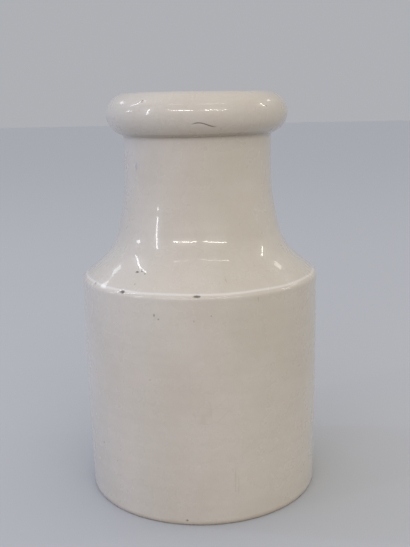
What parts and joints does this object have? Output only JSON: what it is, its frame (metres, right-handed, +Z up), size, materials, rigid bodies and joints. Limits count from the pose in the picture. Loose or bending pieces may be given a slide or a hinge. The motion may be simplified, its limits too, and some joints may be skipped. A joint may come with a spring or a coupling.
{
  "type": "mustard jar",
  "caption": "Open straight-sided glazed earthenware jar with a sloping shoulder, a narrow neck and a thick rolled rim, for keeping and selling mustard.",
  "frame": {"origin": "centre of the foot, at the level of the surface the jar stands on", "axes": "+Z up along the jar's axis, towards the mouth; +X and +Y are free, since the jar is round"},
  "size_m": [0.1336, 0.1336, 0.225],
  "materials": {
    "glaze": "gloss"
  },
  "bodies": {
    "root": {"jar": "glaze"}
  },
  "joints": []
}
